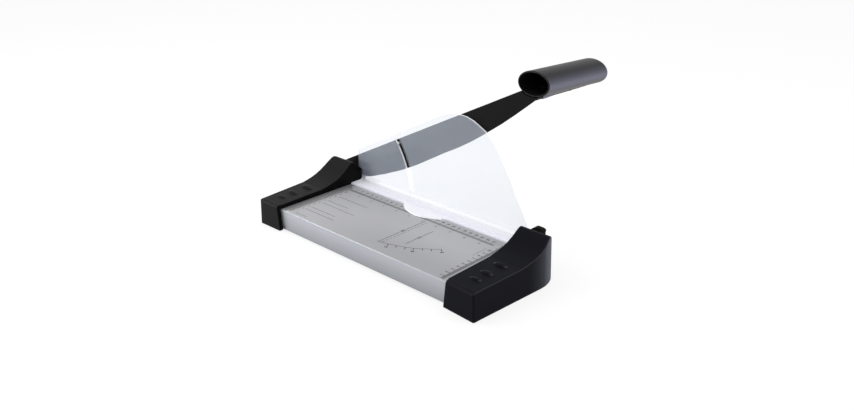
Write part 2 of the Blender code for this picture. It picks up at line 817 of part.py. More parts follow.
def build_feet_and_cap_screws():
    for word, side in (("left", LEFT), ("right", RIGHT)):
        for index, depth in enumerate(FOOT_DEPTHS):
            foot = rod(FOOT_RADIUS, "Z", (side * FOOT_X, depth), 0, FOOT_HEIGHT)
            add_part(f"{word}_foot_{index + 1}", foot, "rubber", root)
        for index, depth in enumerate(CAP_SCREW_DEPTHS):
            screw = cap_screw((side * CAP_SCREW_X, depth))
            add_part(f"{word}_cap_screw_{index + 1}", screw, "zinc", root)


# Pivot of the arm


def sleeve(inner, outer, low, high):
    profile = ((inner, low), (outer, low), (outer, high), (inner, high))
    return turned(profile, "Y", (PIVOT_X, PIVOT_Z))


def bracket_outline():
    low = KNIFE_SCREW_Z - BRACKET_BELOW_SCREW
    high = KNIFE_SCREW_Z + BRACKET_ABOVE_SCREW
    far = BRACKET_SCREWS_X[1] + BRACKET_END_MARGIN
    start = -math.asin((PIVOT_Z - high) / BRACKET_HEAD_RADIUS)
    sweep = math.radians(250) - start
    head = round_arc((PIVOT_X, PIVOT_Z), BRACKET_HEAD_RADIUS, start, sweep, CURVE_STEPS * 2)
    return head + [(PIVOT_X + BUSHING_RADIUS, low), (far, low), (far, high)]


def build_bracket(front, back):
    outline = bracket_outline()
    bracket = add_part("pivot_bracket", flat(outline, "Y", front, back), "zinc", root)
    centre = (PIVOT_X, PIVOT_Z)
    bore = rod(BOLT_RADIUS + GAP, "Y", centre, front - RUN_PAST, back + RUN_PAST)
    cut(bracket, "bracket_bore", bore)
    for index, x in enumerate(BRACKET_SCREWS_X):
        centre = (x, KNIFE_SCREW_Z)
        hole = rod(SCREW_RADIUS + GAP, "Y", centre, front - RUN_PAST, back + RUN_PAST)
        cut(bracket, f"bracket_hole_{index + 1}", hole)


def build_bolt(tip, seat):
    top = seat + BOLT_HEAD_HEIGHT
    profile = (
        (0, tip),
        (BOLT_RADIUS, tip),
        (BOLT_RADIUS, seat),
        (BOLT_HEAD_RADIUS, seat),
        (BOLT_HEAD_RADIUS, seat + BOLT_HEAD_HEIGHT * 2 / 3),
        (BOLT_HEAD_RADIUS * 3 / 4, top),
        (0, top),
    )
    add_part("pivot_bolt", turned(profile, "Y", (PIVOT_X, PIVOT_Z)), "zinc", root)


def build_spring(low, high):
    steps = round(SPRING_TURNS * CURVE_STEPS)
    start = low + SPRING_WIRE
    travel = high - low - SPRING_WIRE * 2
    points = []
    for step in range(steps + 1):
        share = step / steps
        angle = math.tau * SPRING_TURNS * share
        x = PIVOT_X + SPRING_RADIUS * math.cos(angle)
        z = PIVOT_Z + SPRING_RADIUS * math.sin(angle)
        points.append((x, start + travel * share, z))
    add_part("pivot_spring", wire(points, SPRING_WIRE), "steel", root)


def build_pivot():
    # Stacked along the bolt, from the bushing back to the head and on to the nut
    bore = BOLT_RADIUS + GAP
    bracket_back = REAR_WALL_IN - GAP
    bracket_front = bracket_back - BRACKET_THICK
    build_bracket(bracket_front, bracket_back)
    bushing = sleeve(bore, BUSHING_RADIUS, bracket_back + GAP, ARM_FRONT - GAP)
    add_part("pivot_bushing", bushing, "zinc", root)
    seat = ARM_BACK + GAP
    washer = sleeve(bore, HEAD_WASHER_RADIUS, seat, seat + WASHER_THICK)
    add_part("pivot_head_washer", washer, "zinc", root)
    inner_top = bracket_front - GAP
    washer = sleeve(bore, INNER_WASHER_RADIUS, inner_top - WASHER_THICK, inner_top)
    add_part("pivot_inner_washer", washer, "zinc", root)
    spring_top = inner_top - WASHER_THICK - GAP
    spring_low = spring_top - SPRING_LENGTH
    build_spring(spring_low, spring_top)
    outer_top = spring_low - GAP
    washer = sleeve(bore, INNER_WASHER_RADIUS, outer_top - WASHER_THICK, outer_top)
    add_part("pivot_nut_washer", washer, "zinc", root)
    nut_top = outer_top - WASHER_THICK - GAP
    nut_low = nut_top - PIVOT_NUT_HEIGHT
    centre = (PIVOT_X, PIVOT_Z)
    nut = rod(PIVOT_NUT_RADIUS, "Y", centre, nut_low, nut_top, NUT_SIDES)
    part = add_part("pivot_lock_nut", nut, "zinc", root)
    cut(part, "lock_nut_bore", rod(bore, "Y", centre, nut_low - RUN_PAST, nut_top + RUN_PAST))
    build_bolt(nut_low - GAP, seat + WASHER_THICK + GAP)


# Blade arm and its seat


def from_pivot(shares):
    return [(PIVOT_X + CUT_LENGTH * x, PIVOT_Z + CUT_LENGTH * z) for x, z in shares]


def arm_outline():
    # Round root, curved cutting edge, the rest under the grip and a straight back
    start = ARM_REST_ANGLE + math.pi / 2
    sweep = math.radians(315) - start
    points = round_arc((PIVOT_X, PIVOT_Z), ARM_ROOT_RADIUS, start, sweep, CURVE_STEPS * 2)
    points += from_pivot(ARM_EDGE_SHARES)
    radii = (GRIP_HALF_WIDTH + GRIP_ARM_GAP, GRIP_HALF_HEIGHT + GRIP_ARM_GAP)
    return points + arc((GRIP_X, GRIP_Z), radii, -math.pi / 2, -math.pi / 4, CURVE_STEPS)


def grind_cutter():
    # Wedge that grinds the rear face of the plate away towards the cutting edge
    edge = [Vector((x, ARM_BACK, z)) for x, z in from_pivot(ARM_EDGE_SHARES)]
    edge.append(edge[-1] * 2 - edge[-2])
    deep = Vector((0, ARM_THICK * ARM_GRIND_SHARE * 2, 0))
    out = Vector((0, ARM_THICK, 0))
    loops = []
    for one, two in zip(edge, edge[1:]):
        middle = (one + two) / 2
        along = (two - one).normalized()
        inward = Vector((-along.z, 0, along.x)) * ARM_GRIND
        low = middle - inward
        high = middle + inward
        loops.append([low - deep, high, high + out, low + out])
    return loft(loops)


def drooped(shape):
    # Turns what the seat carries down towards its free end
    hinge = Vector((0, ARM_FRONT, SEAT_TOP))
    turn = Matrix.Rotation(-GRIP_DROOP, 4, "X")
    shape.matrix_world = (
        Matrix.Translation(hinge) @ turn @ Matrix.Translation(-hinge) @ shape.matrix_world
    )
    return shape


def seat_plan():
    front = ARM_FRONT + GAP
    far = ARM_FRONT + SEAT_LENGTH
    return [
        (SEAT_LEFT, front),
        (SEAT_LEFT + SEAT_WIDTH, front),
        (SEAT_LEFT + SEAT_END_WIDTH, far),
        (SEAT_LEFT, far),
    ]


def grip_screw_places():
    x = SEAT_LEFT + GRIP_SCREW_INSET
    return [(x, ARM_FRONT + SEAT_LENGTH * share) for share in GRIP_SCREW_SHARES]


def grip_screw_hole(centre):
    top = PAD_FLOOR + GRIP_SCREW_DEPTH + GAP
    return drooped(rod(SCREW_RADIUS + GAP, "Z", centre, PAD_FLOOR - RUN_PAST, top))


def build_arm():
    plate = flat(arm_outline(), "Y", ARM_FRONT, ARM_BACK)
    arm = add_part("blade_arm", plate, "arm_black", arm_axis)
    cut(arm, "edge_grind", grind_cutter())
    seat = flat(seat_plan(), "Z", SEAT_TOP - SEAT_THICK, SEAT_TOP)
    join(arm, "arm_seat", drooped(seat))
    low = ARM_FRONT - RUN_PAST
    high = ARM_BACK + RUN_PAST
    cut(arm, "arm_bore", rod(BOLT_RADIUS + GAP, "Y", (PIVOT_X, PIVOT_Z), low, high))
    cut(arm, "stud_bore", rod(STUD_RADIUS + GAP, "Y", (STUD_X, STUD_Z), low, high))
    for index, centre in enumerate(grip_screw_places()):
        cut(arm, f"seat_hole_{index + 1}", grip_screw_hole(centre))


# Grip


def oval_rod(half_width, half_height, profile):
    # The profile is turned at the half height and stretched to the width
    stretch = half_width / half_height
    shape = turned(profile, "Y", (GRIP_X, GRIP_Z), stretch, OVAL_SEGMENTS)
    return drooped(shape)


def grip_body():
    high = GRIP_HALF_HEIGHT
    rear = GRIP_FRONT + GRIP_LENGTH
    turn = GRIP_END_ROUND
    profile = [(0, GRIP_FRONT), (high - GRIP_RIM, GRIP_FRONT), (high, GRIP_FRONT + GRIP_RIM)]
    profile += round_arc((high - turn, rear - turn), turn, 0, math.pi / 2)
    profile.append((0, rear))
    return oval_rod(GRIP_HALF_WIDTH, high, profile)


def grip_hollow():
    high = GRIP_HALF_HEIGHT - GRIP_WALL
    low = GRIP_FRONT - RUN_PAST
    rear = GRIP_FRONT + GRIP_LENGTH - GRIP_WALL
    profile = ((0, low), (high, low), (high, rear), (0, rear))
    return oval_rod(GRIP_HALF_WIDTH - GRIP_WALL, high, profile)


def pad_plan():
    front = ARM_BACK + GAP
    far = front + PAD_LENGTH
    return [
        (GRIP_X - PAD_LEFT, front),
        (GRIP_X + PAD_RIGHT, front),
        (GRIP_X + PAD_END_RIGHT, far),
        (GRIP_X - PAD_LEFT, far),
    ]


def grip_screw(centre):
    seat = SEAT_TOP - SEAT_THICK - GAP
    low = seat - SCREW_HEAD_HEIGHT
    top = PAD_FLOOR + GRIP_SCREW_DEPTH
    profile = (
        (0, low),
        (SCREW_HEAD_RADIUS * 3 / 4, low),
        (SCREW_HEAD_RADIUS, seat - SCREW_HEAD_HEIGHT / 2),
        (SCREW_HEAD_RADIUS, seat),
        (SCREW_RADIUS, seat),
        (SCREW_RADIUS, top),
        (0, top),
    )
    return drooped(turned(profile, "Z", centre))


def build_grip():
    grip = add_part("grip", grip_body(), "grip_black", arm_axis)
    pad = flat(pad_plan(), "Z", PAD_FLOOR, PAD_FLOOR + PAD_HEIGHT)
    join(grip, "grip_pad", drooped(pad))
    cut(grip, "grip_hollow", grip_hollow())
    for index, centre in enumerate(grip_screw_places()):
        low = PAD_FLOOR + GRIP_WALL / 2
        boss = rod(BOSS_RADIUS, "Z", centre, low, PAD_FLOOR + BOSS_HEIGHT)
        join(grip, f"grip_boss_{index + 1}", drooped(boss))
        cut(grip, f"grip_hole_{index + 1}", grip_screw_hole(centre))
        add_part(f"grip_screw_{index + 1}", grip_screw(centre), "zinc", arm_axis)


# Guide stud and guard


def build_stud():
    back = ARM_BACK + GAP
    face = GUARD_FACE - GAP
    profile = (
        (0, face - STUD_HEAD_HEIGHT),
        (STUD_HEAD_RADIUS / 2, face - STUD_HEAD_HEIGHT),
        (STUD_HEAD_RADIUS, face - STUD_HEAD_HEIGHT / 2),
        (STUD_HEAD_RADIUS, face),
        (STUD_RADIUS, face),
        (STUD_RADIUS, back),
        (STUD_BACK_RADIUS, back),
        (STUD_BACK_RADIUS, back + STUD_HEAD_HEIGHT),
        (0, back + STUD_HEAD_HEIGHT),
    )
    add_part("guide_stud", turned(profile, "Y", (STUD_X, STUD_Z)), "zinc", arm_axis)


def guard_side():
    # Side view of the guard: ribbed flange, bend and upright
    low = TABLE_HEIGHT + GUARD_LIFT
    top = low + GUARD_THICK
    rear = GUARD_FACE + GUARD_THICK
    front = GUARD_FRONT - GUARD_TAB - RUN_PAST
    high = GUARD_TOP + RUN_PAST
    bend = (rear - GUARD_BEND, low + GUARD_BEND)
    points = [(front, low)]
    points += round_arc(bend, GUARD_BEND, -math.pi / 2, math.pi / 2)
    points += [(rear, high), (GUARD_FACE, high)]
    points += round_arc(bend, GUARD_BEND - GUARD_THICK, 0, -math.pi / 2)
    for depth in reversed(GUARD_RIB_DEPTHS):
        y = GUARD_FRONT + depth
        wide = GUARD_RIB_WIDTH / 2
        points += [(y + wide, top), (y + wide / 2, top + GUARD_RIB_HEIGHT)]
        points += [(y - wide / 2, top + GUARD_RIB_HEIGHT), (y - wide, top)]
    return points + [(front, top)]


def guard_front_outline():
    left = -HALF_CUT - GUARD_LEFT_TONGUE
    right = HALF_CUT + GUARD_TONGUE
    low = TABLE_HEIGHT + GUARD_LIFT * 2 + GUARD_THICK
    under = TABLE_HEIGHT - RUN_PAST
    shoulder = TABLE_HEIGHT + CAP_REAR_RISE + GUARD_THICK
    points = [(left, low), (left + GUARD_THICK, under)]
    points += [(right - GUARD_BEND, under), (right, low), (right, shoulder)]
    points.append((HALF_CUT - GUARD_SIDE_GAP, shoulder + GUARD_THICK))
    for x, z in GUARD_SAIL_SHARES:
        points.append((CUT_LENGTH * x, TABLE_HEIGHT + CUT_LENGTH * z))
    return points + [(left, TABLE_HEIGHT + CUT_LENGTH * GUARD_LEFT_SHARE)]


def guard_plan():
    side = HALF_CUT - GUARD_SIDE_GAP
    left = -HALF_CUT - GUARD_LEFT_TONGUE - RUN_PAST
    right = HALF_CUT + GUARD_TONGUE + RUN_PAST
    rear = GUARD_FACE + GUARD_THICK + RUN_PAST
    neck = GUARD_FACE - GAP
    points = [(side, GUARD_FRONT), (side, neck), (right, neck), (right, rear)]
    points += [(left, rear), (left, neck), (-side, neck), (-side, GUARD_FRONT)]
    for x, reach in GUARD_TAB_SHARES:
        points.append((CUT_LENGTH * x, GUARD_FRONT - GUARD_TAB * reach))
    return points


def slot_outline():
    centre = (PIVOT_X, PIVOT_Z)
    half = SLOT_WIDTH / 2
    sweep = SLOT_HIGH - SLOT_LOW
    points = round_arc(centre, SLOT_RADIUS + half, SLOT_LOW, sweep, CURVE_STEPS * 2)
    points += slot_end(SLOT_HIGH, SLOT_HIGH)
    points += round_arc(centre, SLOT_RADIUS - half, SLOT_HIGH, -sweep, CURVE_STEPS * 2)
    return points + slot_end(SLOT_LOW, SLOT_LOW + math.pi)


def slot_end(angle, start):
    x = PIVOT_X + SLOT_RADIUS * math.cos(angle)
    z = PIVOT_Z + SLOT_RADIUS * math.sin(angle)
    return round_arc((x, z), SLOT_WIDTH / 2, start, math.pi, ARC_STEPS * 2)[1:-1]


def build_guard():
    reach = HALF_CUT + GUARD_LEFT_TONGUE + RUN_PAST
    sheet = flat(guard_side(), "X", -reach, reach)
    guard = add_part("guard", sheet, "clear_plastic", guard_rest)
    front = GUARD_FRONT - GUARD_TAB - RUN_PAST * 2
    rear = GUARD_FACE + GUARD_THICK + RUN_PAST
    keep(guard, "guard_front_shape", flat(guard_front_outline(), "Y", front, rear))
    low = TABLE_HEIGHT - RUN_PAST
    keep(guard, "guard_plan_shape", flat(guard_plan(), "Z", low, GUARD_TOP + RUN_PAST * 2))
    slot = flat(slot_outline(), "Y", GUARD_FACE - RUN_PAST, rear)
    cut(guard, "guard_slot", slot)


# Latch


def latch_side():
    # Side view: a round knuckle about the pin, and the hook above it
    points = round_arc((LATCH_Y, LATCH_Z), LATCH_KNUCKLE, math.pi, math.radians(115), CURVE_STEPS)
    for y, z in LATCH_HOOK_SHARES:
        points.append((LATCH_Y + LATCH_REACH * y, LATCH_Z + LATCH_REACH * z))
    return points


def latch_front():
    left = LATCH_SIDE_X - GAP
    right = LATCH_SIDE_X + LATCH_WIDTH + GAP
    side = LATCH_DOME + GAP
    top = LATCH_Z + LATCH_REACH + GAP
    low = LATCH_Z - LATCH_KNUCKLE - RUN_PAST
    steps = CURVE_STEPS // 2
    points = [(left, low), (right, low)]
    points += round_arc((right - side, top - side), side, 0, math.pi / 2, steps)
    return points + round_arc((left + side, top - side), side, math.pi / 2, math.pi / 2, steps)


def build_latch():
    x = (LATCH_SIDE_X, LATCH_SIDE_X + LATCH_WIDTH)
    latch = add_part("arm_latch", flat(latch_side(), "X", x[0], x[1]), "cap_black", latch_axis)
    front = LATCH_Y - LATCH_POCKET_FRONT - RUN_PAST
    keep(latch, "latch_dome", flat(latch_front(), "Y", front, CAP_REAR + RUN_PAST))
    centre = (LATCH_Y, LATCH_Z)
    bore = rod(LATCH_PIN_RADIUS + GAP, "X", centre, x[0] - RUN_PAST, x[1] + RUN_PAST)
    cut(latch, "latch_bore", bore)
    reach = LATCH_PIN_OVERHANG
    pin = rod(LATCH_PIN_RADIUS, "X", centre, x[0] - reach, x[1] + reach)
    add_part("latch_pin", pin, "steel", root)


def centre_on_origin():
    bpy.context.view_layer.update()
    graph = bpy.context.evaluated_depsgraph_get()
    corners = []
    for part in parts.objects:
        if part.type == "MESH":
            shape = part.evaluated_get(graph)
            corners += [shape.matrix_world @ vertex.co for vertex in shape.data.vertices]
    for axis in (0, 1):
        low = min(corner[axis] for corner in corners)
        high = max(corner[axis] for corner in corners)
        root.location[axis] = -(low + high) / 2


clear_scene()
parts = new_collection("guillotine_paper_cutter")
cutters = new_collection("cutters")
root = new_group("cutter_root", (0, 0, 0))
arm_axis = new_group("arm_axis", PIVOT, root)
guard_rest = new_group("guard_rest", (0, GUARD_FACE, TABLE_HEIGHT), root)
latch_axis = new_group("latch_axis", LATCH_PIVOT, root)
build_bed()
build_knife()
build_left_cap()
build_right_cap()
build_feet_and_cap_screws()
build_pivot()
build_arm()
build_grip()
build_stud()
build_guard()
build_latch()
centre_on_origin()
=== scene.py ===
import json
import math

import bmesh
import bpy
from mathutils import Matrix, Vector


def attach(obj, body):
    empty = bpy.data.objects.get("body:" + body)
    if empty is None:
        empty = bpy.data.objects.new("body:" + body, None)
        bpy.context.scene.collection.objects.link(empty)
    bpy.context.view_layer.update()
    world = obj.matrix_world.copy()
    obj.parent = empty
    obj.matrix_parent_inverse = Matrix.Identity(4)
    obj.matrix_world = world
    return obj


# Looks of a guillotine paper cutter. Metres, Z up, in the row frame.

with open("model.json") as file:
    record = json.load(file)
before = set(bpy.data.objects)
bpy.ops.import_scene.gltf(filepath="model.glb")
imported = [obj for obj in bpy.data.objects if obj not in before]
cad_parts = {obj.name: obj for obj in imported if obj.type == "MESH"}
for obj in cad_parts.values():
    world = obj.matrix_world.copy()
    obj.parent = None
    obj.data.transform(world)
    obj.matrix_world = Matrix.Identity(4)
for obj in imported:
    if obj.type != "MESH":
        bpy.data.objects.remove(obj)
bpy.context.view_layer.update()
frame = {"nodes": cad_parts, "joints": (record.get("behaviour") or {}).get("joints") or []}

# The design's own frame has its zero midway between the caps, in the plane of the
# front wall and on the desk. X runs along the cut and Y towards the blade.

PIVOT_X = -0.186
PIVOT_Z = 0.032
BLADE_FACE = 0.1603
BLADE_BACK = 0.1638
PIVOT = Vector(frame["joints"][0]["pos_m"])
ZERO_X = PIVOT.x - PIVOT_X
ZERO_Y = PIVOT.y - BLADE_FACE
TABLE_TOP = 0.032
MM = 0.001


def at(x, y, z):
    return Vector((ZERO_X + x, ZERO_Y + y, z))


# Camera and light

SENSOR_WIDTH = 36.0
PHOTO_WIDTH = 854.0
FOCAL_PIXELS = 891.592
CAMERA_AZIMUTH = math.radians(43.618)
CAMERA_ELEVATION = math.radians(23.107)
CAMERA_PLACE = at(0.78384, -0.69209, 0.52949)
CUTTER_MIDDLE = Vector((0, 0, 0.05))
FRONT_WALL = Vector((-0.1, -0.14, 0.02))

# Name, place, width and height, power, target
LAMPS = (
    ("key_softbox", (-0.9, -0.8, 1.1), (1.0, 1.0), 6, CUTTER_MIDDLE),
    ("right_softbox", (1.5, 0.5, 0.8), (0.7, 1.2), 4, CUTTER_MIDDLE),
    ("top_softbox", (0.0, 0.4, 1.8), (1.6, 1.0), 4.6, CUTTER_MIDDLE),
    ("low_front_lamp", (-0.62, -0.72, 0.16), (0.3, 0.2), 3.0, FRONT_WALL),
)


def add_object(name, data):
    thing = bpy.data.objects.new(name, data)
    bpy.context.scene.collection.objects.link(thing)
    return thing


def add_camera():
    data = bpy.data.cameras.new("photo_camera")
    data.sensor_width = SENSOR_WIDTH
    data.lens = FOCAL_PIXELS * SENSOR_WIDTH / PHOTO_WIDTH
    camera = add_object("photo_camera", data)
    level = math.cos(CAMERA_ELEVATION)
    back = Vector(
        (
            math.sin(CAMERA_AZIMUTH) * level,
            -math.cos(CAMERA_AZIMUTH) * level,
            math.sin(CAMERA_ELEVATION),
        )
    )
    right = Vector((0, 0, 1)).cross(back).normalized()
    up = back.cross(right)
    turn = Matrix((right, up, back)).transposed().to_4x4()
    camera.matrix_world = Matrix.Translation(CAMERA_PLACE) @ turn
    bpy.context.scene.camera = camera


def add_lamp(name, place, size, power, target):
    data = bpy.data.lights.new(name, "AREA")
    data.shape = "RECTANGLE"
    data.size, data.size_y = size
    data.energy = power
    lamp = add_object(name, data)
    lamp.location = place
    lamp.rotation_euler = (Vector(place) - target).to_track_quat("Z", "Y").to_euler()


add_camera()
for lamp_row in LAMPS:
    add_lamp(*lamp_row)
bpy.context.scene.view_settings.view_transform = "Standard"


# Shader fields: numbers and vectors that vary over a surface


class Field:
    def __init__(self, tree, socket):
        self.tree = tree
        self.socket = socket

    def _math(self, operation, *others, flip=False):
        terms = [self, *others]
        if flip:
            terms.reverse()
        values = {str(i): t for i, t in enumerate(terms)}
        return self.tree.node("ShaderNodeMath", {"operation": operation}, values)

    def __add__(self, other):
        return self._math("ADD", other)

    __radd__ = __add__

    def __mul__(self, other):
        return self._math("MULTIPLY", other)

    __rmul__ = __mul__

    def __sub__(self, other):
        return self._math("SUBTRACT", other)

    def __rsub__(self, other):
        return self._math("SUBTRACT", other, flip=True)

    def above(self, level):
        return self._math("GREATER_THAN", level)

    def below(self, level):
        return self._math("LESS_THAN", level)

    def larger(self, other):
        return self._math("MAXIMUM", other)

    def size(self):
        return self._math("ABSOLUTE")

    def clamp(self):
        result = self._math("ADD", 0.0)
        result.socket.node.use_clamp = True
        return result

    def ramp(self, start, rate):
        # From 0 at the start up to 1, towards larger values or, at a rate below 0, smaller
        return ((self - start) * rate).clamp()

    def parts(self):
        values = {"Vector": self}
        return [self.tree.node("ShaderNodeSeparateXYZ", {}, values, output=i) for i in range(3)]


class Tree:
    def __init__(self, node_tree):
        self.nodes = node_tree.nodes
        self.links = node_tree.links

    def node(self, kind, settings, values, output=0):
        node = self.nodes.new(kind)
        for key, value in settings.items():
            setattr(node, key, value)
        for key, value in values.items():
            socket = node.inputs[int(key)] if key.isdigit() else node.inputs[key]
            self.put(socket, value)
        return Field(self, node.outputs[output])

    def put(self, socket, value):
        if isinstance(value, Field):
            self.links.new(value.socket, socket)
        else:
            socket.default_value = value

    def ray(self, kind):
        return self.node("ShaderNodeLightPath", {}, {}, output=kind)


class Look(Tree):
    def __init__(self, name):
        self.material = bpy.data.materials.new(name)
        self.material.use_nodes = True
        super().__init__(self.material.node_tree)
        self.shader = self.nodes["Principled BSDF"]

    def set(self, **values):
        for key, value in values.items():
            self.put(self.shader.inputs[key.replace("_", " ")], value)

    def place(self):
        return self.node("ShaderNodeTexCoord", {}, {}, output="Object")

    def design_place(self):
        # Coordinates in the design's own frame
        x, y, z = self.place().parts()
        return x - ZERO_X, y - ZERO_Y, z

    def normal(self):
        return self.node("ShaderNodeTexCoord", {}, {}, output="Normal").parts()

    def noise(self, scale, detail=2.0, stretch=(1, 1, 1)):
        where = self.node("ShaderNodeMapping", {}, {"Vector": self.place(), "Scale": stretch})
        values = {"Vector": where, "Scale": scale, "Detail": detail}
        return self.node("ShaderNodeTexNoise", {}, values)

    def bump(self, height, strength):
        values = {"Height": height, "Strength": strength, "Distance": 0.0001}
        return self.node("ShaderNodeBump", {}, values)

    def mix(self, share, one, two):
        values = {"0": share, "6": one, "7": two}
        return self.node("ShaderNodeMix", {"data_type": "RGBA"}, values, output=2)


def grey(value, tint=(1, 1, 1)):
    # A screen grey of 0 to 255 as a linear colour
    level = ((value / 255 + 0.055) / 1.055) ** 2.4
    return (level * tint[0], level * tint[1], level * tint[2], 1.0)


# Black moulded plastic: end caps and latch. The side is 1 where +X faces the table,
# -1 where -X does and 0 where neither does.

# The front edge's painted highlight ends at this depth; the painted sheen on the rear corner
# and outer side begins further back, with this tint
CAP_FRONT_EDGE_REAR = 0.003
CAP_PAINTED_CORNER_SHEEN_FRONT = 0.090
CAP_PAINTED_SIDE_SHEEN_FRONT = 0.085
CAP_PAINTED_SHEEN_TINT = (0.96, 1, 1.2)


def dark_plastic(name, level, painted_highlight_level, tint, gloss, roughness, side=0.0):
    # Painted highlights on its edges, painted sheen on its rear corner and outer side, and
    # painted shade in deep black on the side that faces the table
    look = Look(name)
    nx, ny, nz = look.normal()
    y = look.design_place()[1]
    # Painted highlights along the rounded edges
    front_edge_highlight = (ny.size() * nz.size()).ramp(0.3, 3) * y.below(CAP_FRONT_EDGE_REAR)
    long_edge_highlight = (nx.size() * nz.size()).ramp(0.16, 6)
    edge = (long_edge_highlight + front_edge_highlight * 0.35).clamp()
    grain = look.noise(1500)
    patch = look.noise(22)
    colour = look.mix(patch, grey(level - 3, tint), grey(level + 3, tint))
    # Painted shade: deep black on the side that faces the table
    colour = look.mix((nx * side).above(0.6), colour, grey(8, tint))
    # Painted sheen on the rear outer corner and along the outer side
    painted_corner_sheen = (nx * ny * -side).ramp(0.04, 4) * y.above(CAP_PAINTED_CORNER_SHEEN_FRONT)
    painted_side_sheen = y.ramp(CAP_PAINTED_SIDE_SHEEN_FRONT, 24) * (nx * -side).above(0.1)
    colour = look.mix(painted_corner_sheen * 0.12 + painted_side_sheen * painted_side_sheen * 0.33, colour, grey(130, CAP_PAINTED_SHEEN_TINT))
    look.set(
        Base_Color=look.mix(edge, colour, grey(painted_highlight_level)),
        Roughness=roughness + grain * 0.08,
        Specular_IOR_Level=gloss,
        Normal=look.bump(grain, 0.08),
    )
    return look.material


# Grip: an oval tube that points rearwards and down

GRIP_X = 0.14854
GRIP_Z = 0.23877
GRIP_DROOP = math.tan(math.radians(3.0))
GRIP_HOLLOW_HALF_WIDTH = 0.0227
GRIP_HOLLOW_HALF_HEIGHT = 0.0144


def grip_plastic():
    # Satin outside with a painted sheen on its sides, painted shade on top, a warm painted
    # reflection below and a darker end face, and a hollow painted nearly black as shade that
    # takes almost no light
    look = Look("grip_plastic")
    ny, nz = look.normal()[1:]
    x, y, z = look.design_place()
    across = (x - GRIP_X) * (1 / GRIP_HOLLOW_HALF_WIDTH)
    height = (z + (y - BLADE_FACE) * GRIP_DROOP - GRIP_Z) * (1 / GRIP_HOLLOW_HALF_HEIGHT)
    # The hollow is painted nearly black as shade
    hollow_painted_shade = (across * across + height * height).below(1.0)
    grain = look.noise(1100)
    patch = look.noise(14, stretch=(1, 0.25, 1))
    # The satin's pale bluish tone is partly painted sheen
    satin_and_painted_sheen = look.mix(patch, grey(110, (0.97, 0.97, 1.26)), grey(124, (0.97, 0.97, 1.3)))
    # Painted shade on top and a warm painted reflection underneath
    painted_top_shade = nz.ramp(0.05, 1.2)
    painted_underside_reflection = nz.ramp(-0.25, -2)
    end_face = ny.below(-0.6)
    satin_and_painted_sheen = look.mix(painted_top_shade, satin_and_painted_sheen, grey(20, (1.15, 1, 1.5)))
    satin_and_painted_sheen = look.mix(painted_underside_reflection, satin_and_painted_sheen, grey(76, (1.1, 1, 1)))
    satin_and_painted_sheen = look.mix(end_face, satin_and_painted_sheen, grey(26))
    look.set(
        Base_Color=look.mix(hollow_painted_shade, satin_and_painted_sheen, grey(6)),
        Roughness=0.36 + patch * 0.08 + hollow_painted_shade * 0.5,
        Specular_IOR_Level=0.14,
        Normal=look.bump(grain, 0.06),
    )
    return look.material


# Bed: a pale printed table top and a brushed front wall, with painted shade low on the wall and
# at the table's front right, and a painted tone on the rounded top edge that sets its highlight

WALL_TINT = (0.97, 1.0, 1.08)
PAINTED_EDGE_TINT = (0.99, 1.0, 1.03)
TABLE_TINT = (1, 1, 1.04)
TABLE_COOL_TINT = (1, 1, 1.05)
WALL_PAINTED_SHADE_TOP = 0.026
TABLE_PAINTED_SHADE_REAR = 0.075
TABLE_PAINTED_SHADE_LEFT = -0.12
SCALE_FIELD_FRONT = 0.1166
SCALE_LINE_Y = 0.1152
SCALE_LINE_HALF_WIDTH = 0.0022
SCALE_LINE_MIDDLE = -0.005
SCALE_LINE_HALF_LENGTH = 0.138
RULER_FIELD_RIGHT = -0.1495


def bed_metal():
    look = Look("printed_bed")
    nz = look.normal()[2]
    x, y, z = look.design_place()
    top = nz.above(0.97)
    edge = nz.above(0.25) * (1 - top)
    brush = look.noise(240, 3.0, (0.02, 1, 1))
    patch = look.noise(9)
    wall = look.mix(brush, grey(165, WALL_TINT), grey(184, WALL_TINT))
    # Painted shade: the wall darker towards the bottom
    wall = look.mix(z.ramp(WALL_PAINTED_SHADE_TOP, -45), wall, grey(149, WALL_TINT))
    # Painted tone on the rounded top edge, set for the brightness of its highlight
    wall = look.mix(edge, wall, grey(156, PAINTED_EDGE_TINT))
    face = look.mix(patch, grey(170, TABLE_TINT), grey(180, TABLE_COOL_TINT))
    # Painted shade over the front right of the table
    painted_table_shade = y.ramp(TABLE_PAINTED_SHADE_REAR, -18) * x.ramp(TABLE_PAINTED_SHADE_LEFT, 8)
    face = look.mix(painted_table_shade, face, grey(162, TABLE_COOL_TINT))
    scale_field = y.above(SCALE_FIELD_FRONT)
    line = (y - SCALE_LINE_Y).size().below(SCALE_LINE_HALF_WIDTH)
    line = line * (x - SCALE_LINE_MIDDLE).size().below(SCALE_LINE_HALF_LENGTH)
    face = look.mix(scale_field, face, grey(170, TABLE_TINT))
    face = look.mix(line, face, grey(126, TABLE_TINT))
    face = look.mix(x.below(RULER_FIELD_RIGHT), face, grey(124, TABLE_TINT))
    look.set(
        Base_Color=look.mix(top, wall, face),
        Metallic=(1 - top) * 0.6,
        Roughness=0.36 + brush * 0.12,
        Specular_IOR_Level=0.3,
        Normal=look.bump(brush, 0.05),
    )
    return look.material


def steel(name, level, roughness):
    look = Look(name)
    brush = look.noise(300, 3.0, (0.05, 1, 1))
    colour = look.mix(brush, grey(level - 10), grey(level + 8))
    look.set(Base_Color=colour, Metallic=1.0, Roughness=roughness + brush * 0.1)
    return look.material


# Blade arm: black coat, bright where the edge is ground, and a bare steel seat

ARM_SEAT_FRONT = BLADE_BACK + 0.0008
COAT_TINT = (1.03, 1, 1.06)


